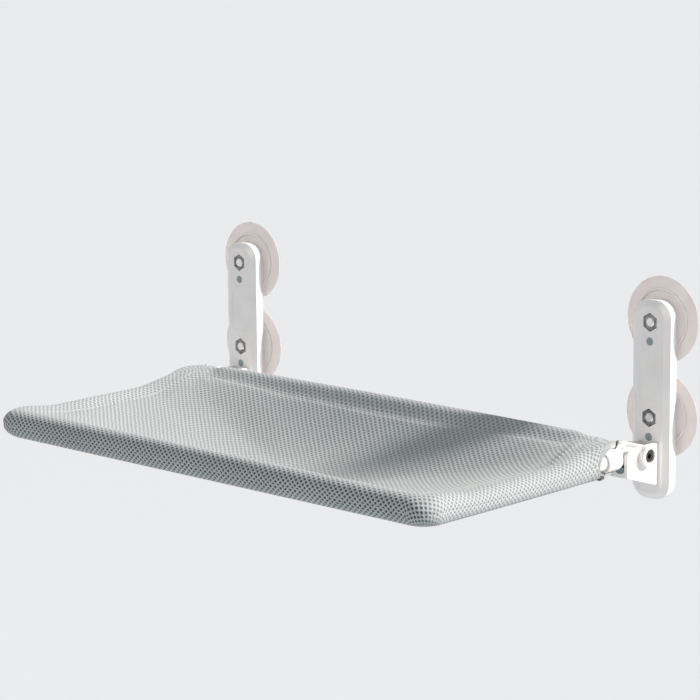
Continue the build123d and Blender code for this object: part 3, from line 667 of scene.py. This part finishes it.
def cloth_height(x, y):
    """The upper face of the sheet."""
    u = np.clip(x / tube_x, -1, 1)
    v = np.clip((y - middle_y) / half_y, -1, 1)
    hollow = (1 - np.abs(u) ** hollow_power) * (1 - v * v)
    side = side_top(y) - side_sink
    end = np.where(v > 0, rear_top(x), tube_z + roll_radius) - end_sink
    weight = u**6 / (u**6 + v**6 + 1e-6)
    edge = end + (side - end) * weight
    ends = smooth_step((v - 0.1) / 0.9)
    near_edge = np.maximum(np.abs(u) ** 3, ends)
    level = tube_z + edge_height + (edge - tube_z - edge_height) * near_edge
    return soft_larger(level - sag * hollow, facet_height(x, y), facet_blend) - skin_sink


print("cloth over the side tube", round(float(cloth_height(0.22, middle_y)) * 1000, 1), "mm")

# %% [markdown]
# Now the skin. Each ring is one loop round the sling, and the list runs from the dish's
# upper face, over the roll and back to the dish's lower face.

# %% The rings of the skin
web_insets = (0.034, 0.0285, 0.0235, 0.0192, 0.0160, 0.0136)
roll_start, roll_stop, roll_rings = 118, -172, 30
roll_angles = [math.radians(a) for a in np.linspace(roll_start, roll_stop, roll_rings)]
outer_seam = 12
seam_groove = 0.93
crest_rings = 4
side_width = 0.0112
narrow_x, narrow_run, narrower = 0.198, 0.012, 0.0026
rear_square, front_square = 0.0060, 0.0045
mouth_bluntness = 0.58
web_corner, corner_growth = 0.002, 0.9
roll_map_start = -0.0056

# 1 in the middle of a corner's arc, 0 on the straights
arc = np.abs(axis_out[:, 0] * axis_out[:, 1]) * 2
squarer = np.where(rearward, rear_square, front_square) * arc**1.5
narrowing = smooth_step((np.abs(axis_plan[:, 0]) - narrow_x) / narrow_run)
back_width = roll_radius - narrower * narrowing * rearward
roll_width = back_width + (side_width - back_width) * on_side
bluntness = 1.0 - mouth_bluntness * near_mouth


def web_ring(inset, below):
    """One loop of the sheet, at an inset from the tubes' axis and some way below its upper face."""
    plan = rounded_plan(inset, web_corner + corner_growth * (inset - roll_radius))[0]
    return np.column_stack([plan, cloth_height(plan[:, 0], plan[:, 1]) - below])


def blunted(share):
    """A sine or cosine whose curve is fuller near the mouths."""
    return math.copysign(1, share) * abs(share) ** bluntness


def roll_ring(number, angle):
    """One loop round the roll, at an angle from straight outward."""
    groove = seam_groove if number == outer_seam else 1.0
    width = roll_width + squarer if math.cos(angle) > 0 else roll_width
    reach = width * blunted(math.cos(angle)) * groove
    plan = axis_plan + axis_out * np.reshape(reach, (-1, 1))
    height = roll_middle + roll_half * blunted(math.sin(angle)) * groove
    if number < crest_rings:
        height = np.maximum(height, facet_height(plan[:, 0], plan[:, 1]))
    return np.column_stack([plan, height])


rings = [web_ring(inset, 0.0) for inset in web_insets]
rings += [roll_ring(number, angle) for number, angle in enumerate(roll_angles)]
rings += [web_ring(inset, sheet_thickness) for inset in reversed(web_insets)]
top_web = len(web_insets)
roll_end = top_web + len(roll_angles)
print("rings", len(rings), "of", around, "points")

# %% [markdown]
# Inside the first and the last ring the sheet is a grid of four-sided faces, blended from
# the ring's four sides. The cloth solver and the subdivision both work best on such faces.

# %% A grid inside a ring
# The grid's four corners lie in the middle of the plan's corner arcs.
half_corner = corner_steps // 2
grid_x = long_steps + corner_steps
grid_y = short_steps + corner_steps


def grid_points(ring):
    """A grid inside one ring, blended from its four sides."""
    loop = np.roll(ring, -half_corner, axis=0)
    top = loop[: grid_x + 1]
    left = loop[grid_x : grid_x + grid_y + 1]
    bottom = loop[grid_x + grid_y : 2 * grid_x + grid_y + 1][::-1]
    right = np.vstack([loop[2 * grid_x + grid_y :], loop[:1]])[::-1]
    s = np.linspace(0, 1, grid_x + 1)[None, :, None]
    t = np.linspace(0, 1, grid_y + 1)[:, None, None]
    blend = (1 - t) * top[None] + t * bottom[None] + (1 - s) * right[:, None] + s * left[:, None]
    corners = (1 - s) * (1 - t) * top[0] + s * (1 - t) * top[-1]
    corners = corners + (1 - s) * t * bottom[0] + s * t * bottom[-1]
    return blend - corners


print("grid", grid_x, "by", grid_y, "faces")

# %% [markdown]
# Three lists make the mesh: the points, their places on the cloth map, and the faces that
# join them. The cloth map is the plan itself on the sheet, and unrolls outward from it over
# the roll.

# %% Points, cloth map and faces
roll_travel = [roll_radius * (roll_angles[0] - angle) + roll_map_start for angle in roll_angles]
vertices = [tuple(p) for ring in rings for p in ring]
plan_uv = []
for index, ring in enumerate(rings):
    on_roll = top_web <= index < roll_end
    spots = axis_plan + axis_out * roll_travel[index - top_web] if on_roll else ring[:, :2]
    plan_uv += [tuple(p) for p in spots]
faces = []
for low in range(0, (len(rings) - 1) * around, around):
    high = low + around
    for spot in range(around):
        after = (spot + 1) % around
        faces.append((low + spot, high + spot, high + after, low + after))
for ring_index, upward in ((0, True), (len(rings) - 1, False)):
    grid = grid_points(rings[ring_index])
    below = 0.0 if upward else sheet_thickness
    keys = {}
    rim = [ring_index * around + (half_corner + k) % around for k in range(around)]
    for row in range(grid_y + 1):
        for column in range(grid_x + 1):
            if row == 0:
                keys[row, column] = rim[column]
            elif column == grid_x:
                keys[row, column] = rim[grid_x + row]
            elif row == grid_y:
                keys[row, column] = rim[2 * grid_x + grid_y - column]
            elif column == 0:
                keys[row, column] = rim[(2 * grid_x + 2 * grid_y - row) % around]
            else:
                x, y = grid[row, column][:2]
                keys[row, column] = len(vertices)
                vertices.append((x, y, float(cloth_height(x, y)) - below))
                plan_uv.append((x, y))
    for row in range(grid_y):
        for column in range(grid_x):
            near_pair = keys[row, column], keys[row, column + 1]
            far_pair = keys[row + 1, column + 1], keys[row + 1, column]
            quad = near_pair + far_pair
            faces.append(quad if upward else quad[::-1])
print("points", len(vertices), "faces", len(faces))

# %% Make the sling's mesh
sling_mesh = bpy.data.meshes.new("sling")
sling_mesh.from_pydata(vertices, [], faces)
sling = new_piece("sling", sling_mesh)
select_only(sling)
bpy.ops.object.mode_set(mode="EDIT")
bpy.ops.mesh.select_all(action="SELECT")
bpy.ops.mesh.normals_make_consistent(inside=False)
bpy.ops.object.mode_set(mode="OBJECT")
uv = sling_mesh.uv_layers.new(name="cloth")

# The strip that joins the roll to the underside lies flat, so it takes the plan's own map.
under_seam = range((roll_end - 1) * around, roll_end * around)
for polygon in sling_mesh.polygons:
    for loop in polygon.loop_indices:
        key = sling_mesh.loops[loop].vertex_index
        flat = polygon.index in under_seam and key < len(rings) * around
        uv.data[loop].uv = vertices[key][:2] if flat else plan_uv[key]
print("sling", len(sling_mesh.vertices), "points", len(sling_mesh.polygons), "faces")

# %% [markdown]
# Air mesh is a thick, springy cloth. A short run of the cloth solver with a little pressure
# lets the skin swell between its seams, which are pinned, and then no point may end more
# than 2 mm from where the pattern put it.

# %% Let the cloth swell
swell_frames = 20
swell_cap = 0.002
rest = np.array([v.co for v in sling_mesh.vertices])
pinned = sling.vertex_groups.new(name="seams")
seam_rings = (top_web - 1, roll_end - 1, top_web + outer_seam)
for index in seam_rings:
    pinned.add([index * around + spot for spot in range(around)], 1.0, "REPLACE")
select_only(sling)
cloth = sling.modifiers.new("cloth", "CLOTH")
settings = cloth.settings
settings.quality = 4
settings.mass = 0.3
settings.tension_stiffness = 25
settings.compression_stiffness = 25
settings.bending_stiffness = 4
settings.use_pressure = True
settings.uniform_pressure_force = 4
settings.effector_weights.gravity = 0
settings.vertex_group_mass = "seams"
cloth.point_cache.frame_start = 1
cloth.point_cache.frame_end = swell_frames
for number in range(1, swell_frames + 1):
    bpy.context.scene.frame_set(number)
seen = sling.evaluated_get(bpy.context.evaluated_depsgraph_get())
swollen = np.array([v.co for v in seen.data.vertices])
sling.modifiers.remove(cloth)
bpy.context.scene.frame_set(1)
moved = swollen - rest
length = np.linalg.norm(moved, axis=1, keepdims=True)
moved = moved * np.minimum(1, swell_cap / np.maximum(length, 1e-9))
for vertex, place in zip(sling_mesh.vertices, rest + moved):
    vertex.co = place
print("largest move before the cap", round(float(length.max()) * 1000, 1), "mm")
sling.vertex_groups.remove(pinned)
smoother = sling.modifiers.new("finer", "SUBSURF")
smoother.levels = smoother.render_levels = 1
apply_all(sling)

# %% [markdown]
# The rear corners are open. The sleeve's outer side is cut back on a slant, so the side tube
# comes out through a tall mouth, while the top and the inner side reach almost to the hinge.
# A closed tube with a slanted end cuts the cloth, and a second, tapered one hollows the
# sleeve behind it. Each cut face keeps its cutter's finish: the edge of the mesh on the
# slant, a pale lining in the hollow.

# %% Binding, lining and webbing
def felted(name, stops, patches, nap, strength, depth, sheen=0.0):
    """A napped cloth: patches and nap are the scales of the noise in its colour and its surface."""
    look, tree, shader = new_look(name, 0.9)
    colour = colour_ramp(tree, object_noise(tree, patches, 3), stops)
    tree.links.new(colour, shader.inputs["Base Color"])
    bumped(tree, shader, object_noise(tree, nap, 3), strength, depth)
    shader.inputs["Sheen Weight"].default_value = sheen
    return look


lining_stops = (0.3, (0.56, 0.53, 0.53)), (0.7, (0.70, 0.67, 0.67))
edge_stops = (0.35, (0.17, 0.185, 0.19)), (0.6, (0.33, 0.355, 0.36))
lining = felted("pale_lining", lining_stops, 700, 1500, 0.5, 0.0003, sheen=0.2)
cut_edge = felted("cut_edge_of_mesh", edge_stops, 900, 1100, 0.6, 0.0004)


def tape(name, light, dark, rib, roughness=0.8):
    """A woven tape, ribbed across its length: its map runs along the tape in metres."""
    look, tree, shader = new_look(name, roughness)
    cloth = add_node(tree, "ShaderNodeUVMap", uv_map="tape").outputs["UV"]
    waves = []
    for way, pitch in zip(axes_of(tree, cloth), (rib, 0.8 * rib)):
        waves.append(math_node(tree, "SINE", math_node(tree, "MULTIPLY", way, 2 * math.pi / pitch)))
    weave = math_node(tree, "MULTIPLY_ADD", math_node(tree, "MULTIPLY", *waves), 0.4, 0.5)
    fibre = object_noise(tree, 3500, 2)
    mixed = math_node(tree, "MULTIPLY_ADD", fibre, 0.5, math_node(tree, "MULTIPLY", weave, 0.5))
    colour = colour_ramp(tree, mixed, ((0.3, dark), (0.62, light)))
    tree.links.new(colour, shader.inputs["Base Color"])
    bumped(tree, shader, mixed, 0.6, 0.0003)
    shader.inputs["Sheen Weight"].default_value = 0.3
    return look


hem_tape = tape("hem_tape", (0.33, 0.35, 0.355), (0.19, 0.205, 0.21), 0.0011)
# Near-black tape for the mouths' strap and tab: painted shadow in the sleeve's mouth
painted_shadow_webbing = tape("painted_shadow_webbing", (0.045, 0.042, 0.042), (0.014, 0.013, 0.013), 0.0013)
thread = tape("sewing_thread", (0.60, 0.61, 0.60), (0.40, 0.41, 0.41), 0.0006, 0.6)
print("sewn finishes", lining.name, cut_edge.name, hem_tape.name, painted_shadow_webbing.name, thread.name)


# %% Helpers for closed bodies
def loft(body, loops):
    """Quads between neighbouring loops, then a cap on each end: returns the quads."""
    quads = []
    steps = len(loops[0])
    for low, high in zip(loops, loops[1:]):
        for step in range(steps):
            after = (step + 1) % steps
            quads.append(body.faces.new((low[step], low[after], high[after], high[step])))
    body.faces.new(loops[0][::-1])
    body.faces.new(loops[-1])
    return quads


def finish_body(name, body, look):
    bmesh.ops.recalc_face_normals(body, faces=body.faces)
    mesh = bpy.data.meshes.new(name)
    body.to_mesh(mesh)
    body.free()
    mesh.materials.append(look)
    return new_piece(name, mesh)


def skin_tree(piece):
    points = [v.co.copy() for v in piece.data.vertices]
    return BVHTree.FromPolygons(points, [tuple(f.vertices) for f in piece.data.polygons])


# %% Cut the mouths at the rear corners
mouth_start = 0.0068
mouth_slant = 2.9
mouth_lean = 0.2
mouth_limit = 0.0097
tool_steps = 64


def mouth_y(x, z):
    slant = rear_y + mouth_start - mouth_slant * (abs(x) - tube_x) + mouth_lean * (z - tube_z)
    return min(slant, rear_y + mouth_limit)


def ring_tool(name, sections, middle, look):
    """A closed tube along Y: each section is (half width, half height, y at x and z)."""
    tool = bmesh.new()
    loops = []
    for wide, high, place in sections:
        loop = []
        for step in range(tool_steps):
            angle = 2 * math.pi * step / tool_steps
            x, z = middle[0] + wide * math.cos(angle), middle[1] + high * math.sin(angle)
            loop.append(tool.verts.new((x, place(x, z), z)))
        loops.append(loop)
    loft(tool, loops)
    bmesh.ops.recalc_face_normals(tool, faces=tool.faces)
    bmesh.ops.triangulate(tool, faces=[f for f in tool.faces if len(f.verts) > 4])
    return finish_body(name, tool, look)


slant_sections = ((0.026, 0.026, mouth_y), (0.026, 0.026, lambda x, z: rear_y + 0.05))
bore_sections = (
    (0.0066, 0.0066, lambda x, z: rear_y - 0.046),
    (0.0076, 0.0080, lambda x, z: mouth_y(x, z) - 0.012),
    (0.0098, 0.0112, lambda x, z: mouth_y(x, z) - 0.004),
    (0.0103, 0.0120, lambda x, z: mouth_y(x, z) + 0.006),
)
sling.data.materials.append(sling_look)
whole_skin = skin_tree(sling)
for side in (-1, 1):
    x = side * tube_x
    slant_cut = ring_tool("slant_cut", slant_sections, (x + side * 0.002, tube_z), cut_edge)
    bore_cut = ring_tool("bore_cut", bore_sections, (x, tube_z + 0.0006), lining)
    for tool in (slant_cut, bore_cut):
        cut = sling.modifiers.new("cut", "BOOLEAN")
        cut.operation = "DIFFERENCE"
        cut.object = tool
        cut.solver = "EXACT"
        cut.material_mode = "TRANSFER"
        apply_all(sling)
        bpy.data.objects.remove(tool)
for polygon in sling.data.polygons:
    polygon.use_smooth = True
select_only(sling)
bpy.ops.object.shade_smooth_by_angle(angle=math.radians(50))
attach(sling, "perch")
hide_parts("fabric_sling")
print("sling after the cuts", len(sling.data.polygons), "faces", [m.name for m in sling.data.materials])

# %% [markdown]
# A tape binds each mouth. We find the lip by looking from outside towards the tube, just in
# front of the cut, and lay a flattened cord of tape along the points where the skin is met.


# %% Tapes and the points of the lip
tape_sides = 10
tape_squareness = 0.55
look_from = 0.030
lip_middle_z = tube_z + 0.001


def sweep(name, line, widths, look, tops):
    """A closed tape along points: widths are (half width, half height) for each point."""
    body = bmesh.new()
    layer = body.loops.layers.uv.new("tape")
    loops, travel = [], [0.0]
    for first, second in zip(line, line[1:]):
        travel.append(travel[-1] + (second - first).length)
    for index, point in enumerate(line):
        ahead = line[min(index + 1, len(line) - 1)] - line[max(index - 1, 0)]
        ahead.normalize()
        side_way = ahead.cross(tops[index]).normalized()
        top = side_way.cross(ahead).normalized()
        wide, high = widths[index]
        loop = []
        for step in range(tape_sides):
            angle = 2 * math.pi * step / tape_sides
            c, s = math.cos(angle), math.sin(angle)
            square = 1.0 / max(abs(c), abs(s)) ** tape_squareness
            loop.append(body.verts.new(point + side_way * wide * c * square + top * high * s * square))
        loops.append(loop)
    for number, face in enumerate(loft(body, loops)):
        index, step = divmod(number, tape_sides)
        across = 2 * sum(widths[index]) / tape_sides * 2
        spots = ((index, step), (index, step + 1), (index + 1, step + 1), (index + 1, step))
        for corner, (a, b) in zip(face.loops, spots):
            corner[layer].uv = (travel[a], b * across)
        face.smooth = True
    piece = finish_body(name, body, look)
    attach(piece, "perch")


def lip_point(side, angle, depth):
    """Where the skin is met just in front of the mouth's slanted plane."""
    way = Vector((side * math.cos(angle), 0, math.sin(angle)))
    reach = roll_radius
    for attempt in range(4):
        x, z = side * tube_x + way.x * reach, lip_middle_z + way.z * reach
        y = mouth_y(x, z) - depth
        start = Vector((side * tube_x, y, lip_middle_z)) + way * look_from
        hit, normal, face, length = whole_skin.ray_cast(start, -way, look_from)
        if hit is None:
            break
        reach = look_from - length
    return Vector((side * tube_x + way.x * reach, y, lip_middle_z + way.z * reach)), way


def along_lip(side, degrees, depth, sunk):
    """A line just inside the lip, with the direction away from the tube at each point."""
    line, ways = [], []
    for angle in np.radians(degrees):
        place, way = lip_point(side, float(angle), depth)
        line.append(place - way * sunk)
        ways.append(way)
    return line, ways


# %% Bind the mouths and add their black strap and tab of painted shadow
binding_degrees = np.linspace(97, -104, 42)
binding_half = 0.0011
binding_ends = [0.55, 0.8] + [1.0] * (len(binding_degrees) - 4) + [0.8, 0.55]
tab_degrees = np.linspace(-47, -60, 6)
tab_half = (0.0021, 0.0020)
strap_half = (0.0013, 0.0006)

# The strap's way round the tube, as steps outward, back and up from the tube's axis
strap_route = (
    (0.0022, 0.0090, 0.0152),
    (0.0014, 0.0094, 0.0122),
    (0.0002, 0.0097, 0.0094),
    (-0.0018, 0.0098, 0.0075),
    (-0.0044, 0.0098, 0.0059),
    (-0.0062, 0.0098, 0.0036),
    (-0.0070, 0.0098, 0.0008),
)
for side, word in ((-1, "left"), (1, "right")):
    line, tops = along_lip(side, binding_degrees, depth=0.0004, sunk=0.0009)
    widths = [(binding_half * end, binding_half * end) for end in binding_ends]
    sweep(word + "_mouth_binding", line, widths, hem_tape, tops)

    # A short black strap hangs from the top of the mouth behind the tube, and a black tab grips the
    # foot: both are painted shadow, the dark gaps of the sleeve's mouth above and below the tube
    strap = [Vector((side * (tube_x + dx), rear_y + dy, tube_z + dz)) for dx, dy, dz in strap_route]
    strap_tops = [Vector((side * 0.8, 0, 0.6))] * len(strap)
    sweep(word + "_mouth_shadow_strap", strap, [strap_half] * len(strap), painted_shadow_webbing, strap_tops)
    tab, tab_tops = along_lip(side, tab_degrees, depth=0.0010, sunk=0.0010)
    sweep(word + "_mouth_shadow_tab", tab, [tab_half] * len(tab), painted_shadow_webbing, tab_tops)
print("bound mouths", 2)

# %% [markdown]
# Rows of small stitches hold the cloth round the tubes: one where the sheet joins the roll,
# one along the roll's outer side and one underneath. A stitch is a stretched ball with flat
# ends. Every stitch is set on the finished skin, along the ring that its seam follows.


# %% Sew the seams
stitch_spacing = 0.0042
stitch_half = 0.0014
stitch_radius = 0.00032
stitch_sides = 5
stitch_turn = 0.3
stitch_lift, stitch_dip = 0.35, 0.9
clear_of_tube, clear_of_mouth = 0.010, 0.004
farthest_skin = 0.006
stitch_rows = ((-1.0, 0.35), (-0.62, 0.95), (0.0, 1.15), (0.62, 0.95), (1.0, 0.35))
cut_skin = skin_tree(sling)


def seam_line(ring_index):
    """Points along one ring, a stitch apart, with the ring's direction."""
    ring = rings[ring_index]
    loop = [Vector(p) for p in ring] + [Vector(ring[0])]
    found, left = [], 0.0
    for first, second in zip(loop, loop[1:]):
        length = (second - first).length
        way = (second - first).normalized()
        while left < length:
            found.append((first + way * left, way))
            left += stitch_spacing
        left -= length
    return found


def stitch_loops(body, hit, way, normal):
    """The loops of one stitch that lies on the skin."""
    side_way = way.cross(normal).normalized()
    along = normal.cross(side_way).normalized()
    loops = []
    for share, fat in stitch_rows:
        lift = stitch_lift - stitch_dip * abs(share) ** 3
        middle = hit + along * stitch_half * share + normal * stitch_radius * lift
        loop = []
        for step in range(stitch_sides):
            angle = 2 * math.pi * step / stitch_sides + stitch_turn
            away = side_way * math.cos(angle) + normal * math.sin(angle)
            loop.append(body.verts.new(middle + away * stitch_radius * fat))
        loops.append(loop)
    return loops


def sew(name, ring_index):
    body = bmesh.new()
    layer = body.loops.layers.uv.new("tape")
    count = 0
    for point, way in seam_line(ring_index):
        at_tube = abs(point.x) > tube_x - clear_of_tube and point.y > rear_y - clear_of_mouth
        if at_tube or point.y > mouth_y(point.x, point.z) - clear_of_mouth:
            continue
        hit, normal, face, distance = cut_skin.find_nearest(point)
        if hit is None or distance > farthest_skin:
            continue
        for quad in loft(body, stitch_loops(body, hit, way, normal)):
            quad.smooth = True
        count += 1
    for face in body.faces:
        for corner in face.loops:
            corner[layer].uv = (corner.vert.co.x + corner.vert.co.y, corner.vert.co.z)
    piece = finish_body(name, body, thread)
    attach(piece, "perch")
    return count


inner_count = sew("inner_seam_stitches", top_web - 1)
outer_count = sew("outer_seam_stitches", top_web + outer_seam)
under_count = sew("under_seam_stitches", roll_end - 1)
print("stitches", inner_count, outer_count, under_count)
